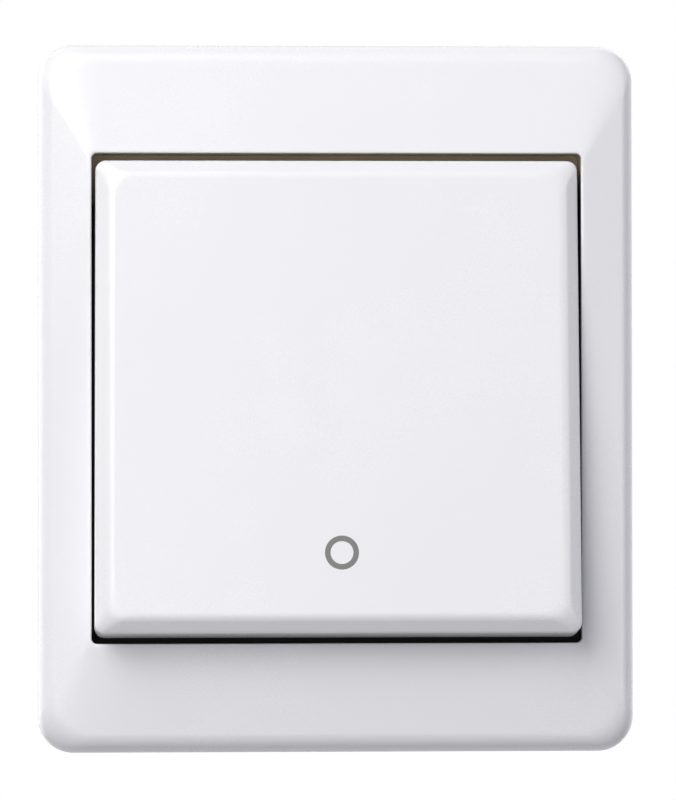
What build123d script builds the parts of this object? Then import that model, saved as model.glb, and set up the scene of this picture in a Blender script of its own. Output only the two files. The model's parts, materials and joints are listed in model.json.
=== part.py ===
"""Two-pole light switch for a flush wall box: cover frame, rocker and snap-action insert.

The wall surface is the plane Y = 0. The room is at -Y, so a height above the wall is an offset of
Plane.XZ, and +Y goes into the wall box. +X is right and +Z is up, seen from the room. The origin is
the centre of the box screws. The rocker stands at rest with its upper end pressed in, which is on.
Sizes are in millimetres and angles in degrees.
"""

from build123d import *
from math import cos, radians, sin, tan
import os

# Cover frame
frame_width = 85.0
frame_length = 101.0
frame_corner_radius = 5.0
frame_edge_height = 6.6
frame_edge_rounding = 3.4
frame_wall = 2.0
frame_rib = 1.0
frame_rib_pitch = 27.0
frame_rib_count = 3
frame_side_border = 7.7
frame_end_border = 15.7
opening_height = 9.1
opening_corner_radius = 0.8
opening_land = 0.6
opening_rounding = 0.5
opening_draft = 1.0
return_wall = 1.6

# Rocker cap
rocker_side_gap = 0.55
rocker_end_gap = 1.2
rocker_corner_radius = 2.2
rocker_face_height = 13.8
rocker_bevel_width = 2.2
rocker_bevel_drop = 1.5
rocker_bevel_rounding = 3.6
rocker_face_radius = 1.5
rocker_draft = 1.5
rocker_wall = 1.6
rocker_hollow_radius = 1.1
rocker_rib = 0.9
rocker_rib_depth = 0.9
rocker_tilt = 5.5
pivot_height = 8.5
rim_clearance = 0.4

# Clips that hold the cap on its cradle
clip_width = 4.0
clip_thickness = 1.2
clip_nose = 0.5
clip_inset = 2.6
clip_offset_z = 9.0
clip_play = 0.15

# Rocker cradle
cradle_length = 26.0
cradle_corner_radius = 2.2
cradle_thickness = 1.8
cradle_hub_radius = 2.8
cradle_hub_width = 2.4
cradle_web = 1.2
trunnion_radius = 1.5
trunnion_length = 2.4
trunnion_clearance = 0.05
guide_radius = 3.0
guide_length = 14.5
guide_ceiling = 5.0

# Spring plungers
plunger_radius = 2.0
plunger_clearance = 0.1
plunger_length = 7.0
plunger_bore_radius = 1.6
plunger_bore_depth = 4.2
plunger_nose_radius = 1.2
plunger_nose_length = 3.6
plunger_tip_gap = 0.06
spring_wire = 0.36
spring_wire_sides = 6
spring_radius = 1.2
spring_turns = 7

# Contact system
arm_axis_depth = 14.4
arm_width = 5.0
arm_thickness = 0.8
arm_half_length = 12.6
arm_corner_radius = 1.25
arm_swing = 8.0
arm_knuckle_radius = 1.1
arm_knuckle_length = 4.6
contact_offset = 11.0
contact_radius = 1.6
contact_thickness = 0.8
contact_rounding = 0.65
contact_shank_radius = 0.8
rivet_head_radius = 1.2
rivet_head_height = 0.4
contact_gap_closed = 0.05
rivet_clearance = 0.03
strip_thickness = 1.0
strip_width = 5.0
strip_bend_radius = 0.5
seat_half_width = 1.9
seat_clearance = 0.05

# Terminals
block_width = 7.0
block_length = 6.8
block_height = 10.0
block_front_depth = 3.0
block_edge = 0.4
block_side_gap = 0.8
block_wall_gap = 0.1
wire_bore_radius = 1.7
screw_radius = 1.5
screw_clearance = 0.04
screw_head_radius = 2.4
screw_head_height = 1.7
screw_slot_width = 0.8
screw_slot_depth = 0.9
screw_reach = 4.6

# Support plate
plate_margin = 1.7
plate_thickness = 1.2
plate_corner_radius = 3.0
plate_window_radius = 2.2
box_screw_pitch = 60.0
box_slot_length = 8.0
box_slot_radius = 2.1
latch_width = 8.0
latch_offset = 22.0
latch_height = 5.4
latch_window_width = 5.4
latch_window_height = 1.8
latch_window_level = 3.0
latch_bend_radius = 0.6
latch_relief = 0.8
latch_corner_radius = 1.0
latch_clearance = 0.25
nub_reach = 0.8
nub_play = 0.2

# Housing base and mechanism cover
housing_size = 41.0
housing_corner_radius = 3.0
housing_rear_rounding = 1.2
housing_wall = 1.6
housing_floor = 2.0
housing_rim_overlap = 2.0
pocket_wall = 0.9
divider_wall = 1.4
divider_front_depth = 3.6
cover_thickness = 1.6
cover_clearance = 0.2
cover_window_length = 9.2
cover_tab_width = 9.6
cover_tab_lip = 0.4
cheek_thickness = 2.0
cheek_length = 9.0
cheek_top = 2.3
cheek_top_length = 4.5
cheek_snap_width = 2.5
cheek_gap = 0.6
cheek_clearance = 1.7
wire_notch_width = 5.4
ear_width = 7.0
ear_reach = 4.6
ear_depth = 8.0
assembly_screw_radius = 1.25
assembly_screw_length = 6.5
assembly_head_radius = 2.2
assembly_head_height = 1.5
assembly_head_rounding = 0.5
assembly_slot_depth = 0.75

# Depth by which a feature starts inside the wall that it grows from
root_overlap = 0.1

# Sizes that follow from the ones above
opening_width = frame_width - 2 * frame_side_border
opening_length = frame_length - 2 * frame_end_border
rocker_width = opening_width - 2 * rocker_side_gap
rocker_length = opening_length - 2 * rocker_end_gap
end_travel = rocker_length / 2 * sin(radians(rocker_tilt))
rocker_face = rocker_face_height - pivot_height
rocker_shoulder = rocker_face - rocker_bevel_drop
rocker_ceiling = rocker_face - rocker_wall
rocker_rim = plate_thickness + rim_clearance + end_travel - pivot_height
rocker_skirt = rocker_shoulder - rocker_rim
return_width = opening_width + 2 * return_wall
return_length = opening_length + 2 * return_wall
return_rear = plate_thickness + rim_clearance
plate_width = opening_width + 2 * plate_margin
plate_length = opening_length + 2 * plate_margin
plate_window = housing_size - 2 * housing_rim_overlap
housing_inner = housing_size / 2 - housing_wall
cheek_inner = plate_window / 2 - cheek_clearance - cheek_thickness
cradle_width = 2 * (cheek_inner - cheek_gap)
cradle_floor = rocker_ceiling - cradle_thickness
clip_offset_x = cradle_width / 2 - clip_inset
terminal_offset = housing_inner - block_side_gap - block_width / 2
riser_inner = terminal_offset - block_width / 2 - block_wall_gap - pocket_wall
pole_offset = riser_inner - pocket_wall - cover_clearance - arm_width / 2
block_rear_depth = block_front_depth + block_height
contact_rise = contact_offset * sin(radians(arm_swing))
contact_stack = arm_thickness / 2 + contact_thickness
contact_edge_dip = (contact_radius - contact_rounding) * sin(radians(arm_swing))
contact_reach = contact_rise + contact_stack * cos(radians(arm_swing)) + contact_edge_dip
fixed_contact_front = arm_axis_depth + contact_reach + contact_gap_closed
strip_depth = fixed_contact_front + contact_thickness
floor_depth = strip_depth + strip_thickness
housing_depth = floor_depth + housing_floor
pocket_inner_z = terminal_offset - block_length / 2 - cover_clearance
ear_centre = housing_size / 2 + ear_reach / 2
tip_radius = arm_axis_depth - arm_thickness / 2 - plunger_tip_gap + pivot_height - plunger_nose_radius

sides = {"left": -1, "right": 1}
ends = {"upper": 1, "lower": -1}
corners = [(x, z) for x in sides.values() for z in ends.values()]

# The rocker turns about the X axis through the pivot. Its plane faces the room along the face's normal
# and its local Y axis runs up the face. Local heights are measured from the pivot.
tilt_sin = sin(radians(rocker_tilt))
tilt_cos = cos(radians(rocker_tilt))
rocker_plane = Plane(origin=(0, -pivot_height, 0), x_dir=(1, 0, 0), z_dir=(0, -tilt_cos, tilt_sin))


def arm_plane(side):
    """Plane through the middle of a contact arm, whose lower end is pressed in at rest."""
    swing = radians(arm_swing)
    centre = (side * pole_offset, arm_axis_depth, 0)
    return Plane(origin=centre, x_dir=(1, 0, 0), z_dir=(0, -cos(swing), -sin(swing)))


def across(plane, offset=0.0):
    """Plane at right angles to another, with X kept and local Y into the wall, at a place up its Y axis."""
    return Plane(origin=plane.from_local_coords((0, offset, 0)), x_dir=plane.x_dir, z_dir=plane.y_dir)


def lengthwise(plane, offset=0.0):
    """Plane at right angles to X, with local X up the given plane and local Y along its normal."""
    return Plane(origin=plane.from_local_coords((offset, 0, 0)), x_dir=plane.y_dir, z_dir=plane.x_dir)


def bend(profile, inside, outside, radius, thickness):
    """Round the two corners of a bend in the profile of a sheet, about one centre."""
    fillet(profile.vertices().sort_by_distance(inside)[0], radius)
    fillet(profile.vertices().sort_by_distance(outside)[0], radius + thickness)


def save(piece, name):
    """Label a finished piece and write it to its own file."""
    piece.part.label = name
    export_step(piece.part, f"parts/{name}.step")


def build_cover_frame():
    """Moulded frame: a sloped face round the opening, hollow behind, with snap nubs for the plate."""
    cavity_height = frame_edge_height - frame_wall
    cavity_width = frame_width - 2 * frame_wall
    cavity_length = frame_length - 2 * frame_wall
    cavity_radius = frame_corner_radius - frame_wall
    land_width = opening_width + 2 * opening_land
    land_length = opening_length + 2 * opening_land
    opening_spread = 2 * (opening_height - return_rear) * tan(radians(opening_draft))
    with BuildPart() as cover_frame:
        with BuildSketch(Plane.XZ):
            RectangleRounded(frame_width, frame_length, frame_corner_radius)
        extrude(amount=frame_edge_height)
        with BuildSketch(Plane.XZ.offset(frame_edge_height)):
            RectangleRounded(frame_width, frame_length, frame_corner_radius)
        with BuildSketch(Plane.XZ.offset(opening_height)):
            RectangleRounded(land_width, land_length, opening_corner_radius + opening_land)
        loft()
        outer_edge = cover_frame.edges().group_by(Axis.Y)[2]
        fillet(outer_edge, frame_edge_rounding)

        with BuildSketch(Plane.XZ):
            RectangleRounded(cavity_width, cavity_length, cavity_radius)
        extrude(amount=cavity_height, mode=Mode.SUBTRACT)
        with BuildSketch(Plane.XZ.offset(cavity_height)):
            RectangleRounded(cavity_width, cavity_length, cavity_radius)
        with BuildSketch(Plane.XZ.offset(opening_height - frame_wall)):
            RectangleRounded(return_width, return_length, opening_corner_radius)
        loft(mode=Mode.SUBTRACT)

        with BuildSketch(Plane.XZ.offset(return_rear)):
            RectangleRounded(return_width, return_length, opening_corner_radius)
            for z in ends.values():
                middle = z * (return_length + cavity_length) / 4
                with GridLocations(frame_rib_pitch, 1, frame_rib_count, 1):
                    with Locations((0, middle)):
                        Rectangle(frame_rib, (cavity_length - return_length) / 2 + frame_wall)
            for x in sides.values():
                with Locations((x * (return_width + cavity_width) / 4, 0)):
                    Rectangle((cavity_width - return_width) / 2 + frame_wall, frame_rib)
        extrude(amount=cavity_height - return_rear)
        with BuildSketch(Plane.XZ.offset(cavity_height)):
            RectangleRounded(return_width, return_length, opening_corner_radius)
        extrude(amount=opening_height - frame_wall - cavity_height)
        with BuildSketch(Plane.XZ.offset(return_rear)):
            RectangleRounded(
                opening_width + opening_spread, opening_length + opening_spread, opening_corner_radius)
        extrude(amount=opening_height - return_rear, taper=opening_draft, mode=Mode.SUBTRACT)
        opening_edge = cover_frame.faces().sort_by(Axis.Y)[0].inner_wires()[0].edges()
        fillet(opening_edge, opening_rounding)

        nub_rise = latch_window_height - 2 * nub_play
        for x in sides.values():
            for z in ends.values():
                with BuildSketch(Plane.XY.offset(z * latch_offset - latch_window_width / 2 + nub_play)):
                    with BuildLine():
                        root = x * (return_width / 2 - root_overlap)
                        rear = -latch_window_level - nub_play
                        Polyline(
                            (root, rear),
                            (x * (return_width / 2 + nub_play), rear),
                            (x * (return_width / 2 + nub_reach), rear - nub_rise / 2),
                            (x * (return_width / 2 + nub_reach), rear - nub_rise),
                            (root, rear - nub_rise),
                            close=True)
                    make_face()
                extrude(amount=latch_window_width - 2 * nub_play)
    save(cover_frame, "cover_frame")


def build_rocker_cap():
    """Moulded cap: bevelled face, drafted skirt, ribs inside and four clips for the cradle."""
    draft = tan(radians(rocker_draft))
    rim_width = rocker_width + 2 * rocker_skirt * draft
    rim_length = rocker_length + 2 * rocker_skirt * draft
    hollow_width = rim_width - 2 * rocker_wall
    hollow_length = rim_length - 2 * rocker_wall
    face_width = rocker_width - 2 * rocker_bevel_width
    face_length = rocker_length - 2 * rocker_bevel_width
    with BuildPart() as rocker_cap:
        with BuildSketch(rocker_plane.offset(rocker_rim)):
            RectangleRounded(rim_width, rim_length, rocker_corner_radius)
        with BuildSketch(rocker_plane.offset(rocker_shoulder)):
            RectangleRounded(rocker_width, rocker_length, rocker_corner_radius)
        with BuildSketch(rocker_plane.offset(rocker_face)):
            RectangleRounded(face_width, face_length, rocker_face_radius)
        loft(ruled=True)
        face = rocker_cap.faces().sort_by(Axis(rocker_plane.origin, rocker_plane.z_dir))[-1]
        fillet(face.edges(), rocker_bevel_rounding)
        with BuildSketch(rocker_plane.offset(rocker_rim)):
            RectangleRounded(hollow_width, hollow_length, rocker_hollow_radius)
        with BuildSketch(rocker_plane.offset(rocker_ceiling)):
            RectangleRounded(
                rocker_width - 2 * rocker_wall, rocker_length - 2 * rocker_wall, rocker_hollow_radius)
        loft(mode=Mode.SUBTRACT)

        rib_x = (cradle_width + rocker_width) / 4
        rib_z = (cradle_length + rocker_length) / 4
        with BuildSketch(rocker_plane.offset(rocker_ceiling - rocker_rib_depth)):
            with Locations((rib_x, 0), (-rib_x, 0)):
                Rectangle(rocker_rib, rocker_length - 2 * rocker_wall)
            with Locations((0, rib_z), (0, -rib_z)):
                Rectangle(rocker_width - 2 * rocker_wall, rocker_rib)
        extrude(amount=rocker_rib_depth + root_overlap)

        hook = cradle_floor - clip_play
        tail = hook - clip_thickness
        for x, z in corners:
            root = x * (clip_offset_x - clip_thickness / 2)
            back = x * (clip_offset_x + clip_thickness / 2)
            nose = x * (clip_offset_x + clip_thickness / 2 + clip_nose)
            with BuildSketch(across(rocker_plane, z * clip_offset_z - clip_width / 2)):
                with BuildLine():
                    Polyline(
                        (root, -rocker_ceiling - root_overlap),
                        (back, -rocker_ceiling - root_overlap),
                        (back, -hook),
                        (nose, -hook),
                        (back, -tail),
                        (root, -tail),
                        close=True)
                make_face()
            extrude(amount=clip_width)
    save(rocker_cap, "rocker_cap")


def build_rocker_cradle():
    """Cradle under the cap: clip slots, trunnions and one guide tube for each spring plunger."""
    slot_width = clip_thickness + clip_nose + 2 * clip_play
    slot_centre = clip_offset_x + clip_nose / 2
    hub_outer = cradle_width / 2
    guide_span = cradle_floor + guide_length
    with BuildPart() as rocker_cradle:
        with BuildSketch(rocker_plane.offset(cradle_floor)):
            RectangleRounded(cradle_width, cradle_length, cradle_corner_radius)
            for x, z in corners:
                with Locations((x * slot_centre, z * clip_offset_z)):
                    Rectangle(slot_width, clip_width + 2 * clip_play, mode=Mode.SUBTRACT)
        extrude(amount=cradle_thickness)
        with BuildSketch(rocker_plane.offset(-guide_length)):
            with Locations((pole_offset, 0), (-pole_offset, 0)):
                Circle(guide_radius)
        extrude(amount=guide_span + root_overlap)
        with BuildSketch(rocker_plane.offset(-guide_ceiling - cradle_web)):
            Rectangle(2 * pole_offset, cradle_web)
        extrude(amount=guide_ceiling + cradle_web + cradle_floor + root_overlap)
        for x in sides.values():
            with BuildSketch(lengthwise(rocker_plane, x * (hub_outer - cradle_hub_width / 2))):
                Circle(cradle_hub_radius)
                with Locations((0, cradle_floor / 2)):
                    Rectangle(2 * cradle_hub_radius, cradle_floor + 2 * root_overlap)
            extrude(amount=cradle_hub_width / 2, both=True)
            trunnion_reach = cheek_gap + trunnion_length
            with BuildSketch(lengthwise(rocker_plane, x * (hub_outer + trunnion_reach / 2))):
                Circle(trunnion_radius)
            extrude(amount=trunnion_reach / 2, both=True)
        with BuildSketch(rocker_plane.offset(-guide_length)):
            with Locations((pole_offset, 0), (-pole_offset, 0)):
                Circle(plunger_radius + plunger_clearance)
        extrude(amount=guide_length - guide_ceiling, mode=Mode.SUBTRACT)
    save(rocker_cradle, "rocker_cradle")


def build_plungers():
    """Sleeve with a rounded nose that rides on the contact arm, and the spring inside it."""
    shoulder = tip_radius - plunger_nose_length
    back = shoulder - plunger_length
    seat = back + plunger_bore_depth
    spring_height = seat - guide_ceiling - spring_wire
    for name, x in sides.items():
        centre = (x * pole_offset, 0)
        with BuildPart() as plunger:
            with BuildSketch(rocker_plane.offset(-shoulder)):
                with Locations(centre):
                    Circle(plunger_radius)
            extrude(amount=plunger_length)
            with BuildSketch(rocker_plane.offset(-tip_radius)):
                with Locations(centre):
                    Circle(plunger_nose_radius)
            extrude(amount=tip_radius - shoulder + plunger_nose_radius)
            with Locations(rocker_plane.from_local_coords((centre[0], 0, -tip_radius))):
                Sphere(plunger_nose_radius)
            with BuildSketch(rocker_plane.offset(-back)):
                with Locations(centre):
                    Circle(plunger_bore_radius)
            extrude(amount=-plunger_bore_depth, mode=Mode.SUBTRACT)
        save(plunger, f"plunger_{name}")

        with BuildPart() as spring:
            with BuildLine() as coil:
                Helix(
                    pitch=spring_height / spring_turns,
                    height=spring_height,
                    radius=spring_radius,
                    center=rocker_plane.from_local_coords((centre[0], 0, -guide_ceiling - spring_wire / 2)),
                    direction=-rocker_plane.z_dir)
            with BuildSketch(Plane(origin=coil.line @ 0, z_dir=coil.line % 0)):
                RegularPolygon(spring_wire / 2, spring_wire_sides)
            sweep()
        save(spring, f"plunger_spring_{name}")


def build_contact_arms():
    """See-saw arm with a half-round knuckle that rocks in its seat, and the riveted silver contact."""
    rear = -arm_thickness / 2
    for name, x in sides.items():
        plane = arm_plane(x)
        with BuildPart() as arm:
            with BuildSketch(plane.offset(rear)):
                RectangleRounded(arm_width, 2 * arm_half_length, arm_corner_radius)
                with Locations((0, -contact_offset)):
                    Circle(contact_shank_radius + rivet_clearance, mode=Mode.SUBTRACT)
            extrude(amount=arm_thickness)
            with BuildSketch(lengthwise(plane)):
                Circle(arm_knuckle_radius)
                with Locations((0, arm_knuckle_radius / 2)):
                    Rectangle(2 * arm_knuckle_radius, arm_knuckle_radius, mode=Mode.SUBTRACT)
            extrude(amount=arm_knuckle_length / 2, both=True)
        save(arm, f"contact_arm_{name}")

        with BuildPart() as contact:
            with BuildSketch(plane.offset(rear - contact_thickness)):
                with Locations((0, -contact_offset)):
                    Circle(contact_radius)
            extrude(amount=contact_thickness)
            with BuildSketch(plane.offset(rear)):
                with Locations((0, -contact_offset)):
                    Circle(contact_shank_radius)
            extrude(amount=arm_thickness)
            with BuildSketch(plane.offset(-rear)):
                with Locations((0, -contact_offset)):
                    Circle(rivet_head_radius)
            extrude(amount=rivet_head_height)
            head_edge = contact.faces().sort_by(Axis(plane.origin, plane.z_dir))[0].edges()
            fillet(head_edge, contact_rounding)
        save(contact, f"moving_contact_{name}")


def joggled_strip(side):
    """Sketch of a bent strip seen along Z: a pad behind the block, a riser and the contact level."""
    pad_outer = terminal_offset + block_width / 2
    strip_inner = pole_offset - strip_width / 2
    riser_outer = riser_inner + strip_thickness
    pad_rear = block_rear_depth + strip_thickness
    with BuildSketch() as profile:
        with BuildLine():
            Polyline(
                (side * pad_outer, block_rear_depth),
                (side * riser_inner, block_rear_depth),
                (side * riser_inner, strip_depth),
                (side * strip_inner, strip_depth),
                (side * strip_inner, floor_depth),
                (side * riser_outer, floor_depth),
                (side * riser_outer, pad_rear),
                (side * pad_outer, pad_rear),
                close=True)
        make_face()
        front_corner = (side * riser_inner, block_rear_depth)
        rear_corner = (side * riser_outer, floor_depth)
        bend(profile, (side * riser_outer, pad_rear), front_corner, strip_bend_radius, strip_thickness)
        bend(profile, (side * riser_inner, strip_depth), rear_corner, strip_bend_radius, strip_thickness)
    return profile.sketch


def build_terminal_strips():
    """Brass strips: the upper one carries the arm's seat and the lower one the fixed contact."""
    pad_near = terminal_offset - block_length / 2
    pad_far = terminal_offset + block_length / 2
    contact_z = -contact_offset * cos(radians(arm_swing)) + contact_stack * sin(radians(arm_swing))
    seat_edge_dip = (seat_half_width + seat_clearance) * tan(radians(arm_swing))
    seat_front = arm_axis_depth + arm_thickness / 2 + seat_edge_dip + seat_clearance
    for name, x in sides.items():
        with BuildPart() as pivot_terminal:
            with BuildSketch(Plane.XY.offset(pad_near)):
                add(joggled_strip(x))
            extrude(amount=block_length)
            with BuildSketch(Plane.XZ.offset(-floor_depth)):
                with Locations((x * pole_offset, (pad_far - seat_half_width) / 2)):
                    Rectangle(strip_width, pad_far + seat_half_width)
            extrude(amount=strip_thickness)
            with BuildSketch(Plane.XZ.offset(-strip_depth)):
                with Locations((x * pole_offset, 0)):
                    Rectangle(strip_width, 2 * seat_half_width)
            extrude(amount=strip_depth - seat_front)
            with BuildSketch(Plane.YZ.offset(x * pole_offset)):
                with Locations((arm_axis_depth, 0)):
                    Circle(arm_knuckle_radius + seat_clearance)
            extrude(amount=strip_width, both=True, mode=Mode.SUBTRACT)
        save(pivot_terminal, f"pivot_terminal_{name}")

        with BuildPart() as fixed_terminal:
            with BuildSketch(Plane.XY.offset(-pad_far)):
                add(joggled_strip(x))
            extrude(amount=block_length)
            with BuildSketch(Plane.XZ.offset(-floor_depth)):
                with Locations((x * pole_offset, (contact_z + contact_radius - pad_far) / 2)):
                    Rectangle(strip_width, pad_far + contact_z + contact_radius)
            extrude(amount=strip_thickness)
            with BuildSketch(Plane.XZ.offset(-floor_depth)):
                with Locations((x * pole_offset, contact_z)):
                    Circle(contact_shank_radius + rivet_clearance)
            extrude(amount=strip_thickness, mode=Mode.SUBTRACT)
        save(fixed_terminal, f"fixed_terminal_{name}")

        with BuildPart() as fixed_contact:
            with BuildSketch(Plane.XZ.offset(-strip_depth)):
                with Locations((x * pole_offset, contact_z)):
                    Circle(contact_radius)
            extrude(amount=contact_thickness)
            with BuildSketch(Plane.XZ.offset(-floor_depth)):
                with Locations((x * pole_offset, contact_z)):
                    Circle(contact_shank_radius)
            extrude(amount=strip_thickness)
            fillet(fixed_contact.faces().sort_by(Axis.Y)[0].edges(), contact_rounding)
        save(fixed_contact, f"fixed_contact_{name}")


def build_terminal_blocks():
    """Brass clamp blocks in the four corners, each with a wire bore and a tapped hole for its screw."""
    wire_depth = block_front_depth + block_height - wire_bore_radius - strip_thickness
    for end_name, z in ends.items():
        for side_name, x in sides.items():
            with BuildPart() as block:
                with BuildSketch(Plane.XZ.offset(-block_rear_depth)):
                    with Locations((x * terminal_offset, z * terminal_offset)):
                        Rectangle(block_width, block_length)
                extrude(amount=block_height)
                chamfer(block.edges().filter_by(Axis.Y), block_edge)
                with BuildSketch(Plane.XY.offset(z * (terminal_offset - block_length / 2))):
                    with Locations((x * terminal_offset, wire_depth)):
                        Circle(wire_bore_radius)
                extrude(amount=z * block_length, mode=Mode.SUBTRACT)
                with BuildSketch(Plane.XZ.offset(-block_front_depth)):
                    with Locations((x * terminal_offset, z * terminal_offset)):
                        Circle(screw_radius + screw_clearance)
                extrude(amount=-(wire_depth - block_front_depth), mode=Mode.SUBTRACT)
            save(block, f"terminal_block_{end_name}_{side_name}")


def build_screws():
    """Four slotted clamp screws in the blocks, and two that hold the housing to the plate."""
    places = [(x * terminal_offset, z * terminal_offset) for x, z in corners]
    with BuildPart() as terminal_screws:
        with BuildSketch(Plane.XZ.offset(-block_front_depth)):
            with Locations(*places):
                Circle(screw_head_radius)
        extrude(amount=screw_head_height)
        with BuildSketch(Plane.XZ.offset(-block_front_depth)):
            with Locations(*places):
                Circle(screw_radius)
        extrude(amount=-screw_reach)
        with BuildSketch(Plane.XZ.offset(screw_head_height - block_front_depth)):
            with Locations(*places):
                Rectangle(2 * screw_head_radius, screw_slot_width)
        extrude(amount=-screw_slot_depth, mode=Mode.SUBTRACT)
    save(terminal_screws, "terminal_screws")

    places = [(x * ear_centre, 0) for x in sides.values()]
    with BuildPart() as assembly_screws:
        with BuildSketch(Plane.XZ.offset(plate_thickness)):
            with Locations(*places):
                Circle(assembly_head_radius)
        extrude(amount=assembly_head_height)
        fillet(assembly_screws.edges().group_by(Axis.Y)[0], assembly_head_rounding)
        with BuildSketch(Plane.XZ.offset(plate_thickness)):
            with Locations(*places):
                Circle(assembly_screw_radius)
        extrude(amount=-assembly_screw_length)
        with BuildSketch(Plane.XZ.offset(plate_thickness + assembly_head_height)):
            with Locations(*places):
                Rectangle(2 * assembly_head_radius, screw_slot_width)
        extrude(amount=-assembly_slot_depth, mode=Mode.SUBTRACT)
    save(assembly_screws, "assembly_screws")


def build_support_plate():
    """Zinc-plated steel plate: box-screw slots, a window for the insert and four upturned latches."""
    latch_inner = return_width / 2 + latch_clearance
    latch_outer = latch_inner + plate_thickness
    latch_root = latch_inner - latch_bend_radius - latch_relief
    slot_place = box_screw_pitch / 2
    with BuildPart() as support_plate:
        with BuildSketch(Plane.XZ):
            RectangleRounded(plate_width, plate_length, plate_corner_radius)
            for x, z in corners:
                with Locations((x * plate_width / 2, z * latch_offset)):
                    notch_reach = plate_width - 2 * latch_root
                    Rectangle(notch_reach, latch_width + 2 * latch_relief, mode=Mode.SUBTRACT)
            RectangleRounded(plate_window, plate_window, plate_window_radius, mode=Mode.SUBTRACT)
            with Locations((slot_place, 0), (-slot_place, 0)):
                SlotOverall(box_slot_length, 2 * box_slot_radius, mode=Mode.SUBTRACT)
            with Locations((0, slot_place), (0, -slot_place)):
                SlotOverall(box_slot_length, 2 * box_slot_radius, rotation=90, mode=Mode.SUBTRACT)
            with Locations((ear_centre, 0), (-ear_centre, 0)):
                Circle(assembly_screw_radius + screw_clearance, mode=Mode.SUBTRACT)
        extrude(amount=plate_thickness)
        for x, z in corners:
            with BuildSketch(Plane.XY.offset(z * latch_offset - latch_width / 2)) as profile:
                with BuildLine():
                    Polyline(
                        (x * (latch_root - root_overlap), 0),
                        (x * latch_outer, 0),
                        (x * latch_outer, -latch_height),
                        (x * latch_inner, -latch_height),
                        (x * latch_inner, -plate_thickness),
                        (x * (latch_root - root_overlap), -plate_thickness),
                        close=True)
                make_face()
                inside = (x * latch_inner, -plate_thickness)
                bend(profile, inside, (x * latch_outer, 0), latch_bend_radius, plate_thickness)
            extrude(amount=latch_width)
        fillet(support_plate.edges().filter_by(Axis.X).group_by(Axis.Y)[0], latch_corner_radius)
        with BuildSketch(Plane.XZ.offset(latch_window_level)):
            for x, z in corners:
                with Locations((x * (latch_inner + plate_thickness / 2), z * latch_offset)):
                    Rectangle(2 * plate_thickness, latch_window_width)
        extrude(amount=latch_window_height, mode=Mode.SUBTRACT)
    save(support_plate, "support_plate")


def build_housing_base():
    """Moulded cup behind the plate: two contact chambers, four terminal pockets and screw ears."""
    inner_size = 2 * housing_inner
    inner_radius = housing_corner_radius - housing_wall
    plinth_depth = block_rear_depth + strip_thickness
    plinth_inner_x = riser_inner + strip_thickness + strip_bend_radius + cover_clearance
    notch_depth = block_rear_depth - strip_thickness
    wall_z = (pocket_inner_z + housing_inner) / 2
    wall_x = (riser_inner + housing_inner) / 2
    with BuildPart() as housing_base:
        with BuildSketch(Plane.XZ):
            RectangleRounded(housing_size, housing_size, housing_corner_radius)
        extrude(amount=-housing_depth)
        fillet(housing_base.edges().group_by(Axis.Y)[-1], housing_rear_rounding)
        with BuildSketch(Plane.XZ):
            RectangleRounded(inner_size, inner_size, inner_radius)
        extrude(amount=-floor_depth, mode=Mode.SUBTRACT)
        with BuildSketch(Plane.XZ):
            with Locations((ear_centre, 0), (-ear_centre, 0)):
                Rectangle(ear_reach + housing_wall, ear_width)
        extrude(amount=-ear_depth)
        with BuildSketch(Plane.XZ):
            Rectangle(inner_size, inner_size)
        extrude(amount=-ear_depth, mode=Mode.SUBTRACT)

        with BuildSketch(Plane.XZ.offset(-floor_depth)):
            Rectangle(divider_wall, inner_size)
        extrude(amount=floor_depth - divider_front_depth)
        with BuildSketch(Plane.XZ.offset(-plinth_depth)):
            for x, z in corners:
                with Locations((x * (plinth_inner_x + housing_inner) / 2, z * wall_z)):
                    Rectangle(housing_inner - plinth_inner_x, housing_inner - pocket_inner_z)
        extrude(amount=plinth_depth - floor_depth)
        with BuildSketch(Plane.XZ.offset(-cover_thickness)):
            for x, z in corners:
                with Locations((x * (riser_inner + pocket_wall / 2), z * wall_z)):
                    Rectangle(pocket_wall, housing_inner - pocket_inner_z)
                with Locations((x * wall_x, z * (pocket_inner_z - pocket_wall / 2))):
                    Rectangle(housing_inner - riser_inner, pocket_wall)
        extrude(amount=cover_thickness - block_rear_depth)

        with BuildSketch(Plane.XZ):
            for x, z in corners:
                with Locations((x * terminal_offset, z * housing_size / 2)):
                    Rectangle(wire_notch_width, 2 * housing_wall)
        extrude(amount=-notch_depth, mode=Mode.SUBTRACT)
        with BuildSketch(Plane.XZ):
            Rectangle(housing_size - 2 * cover_tab_lip, cover_tab_width + 2 * cover_clearance)
        extrude(amount=-cover_thickness, mode=Mode.SUBTRACT)
        with BuildSketch(Plane.XZ):
            with Locations((ear_centre, 0), (-ear_centre, 0)):
                Circle(assembly_screw_radius + screw_clearance)
        extrude(amount=-ear_depth + pocket_wall, mode=Mode.SUBTRACT)
    save(housing_base, "housing_base")


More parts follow.
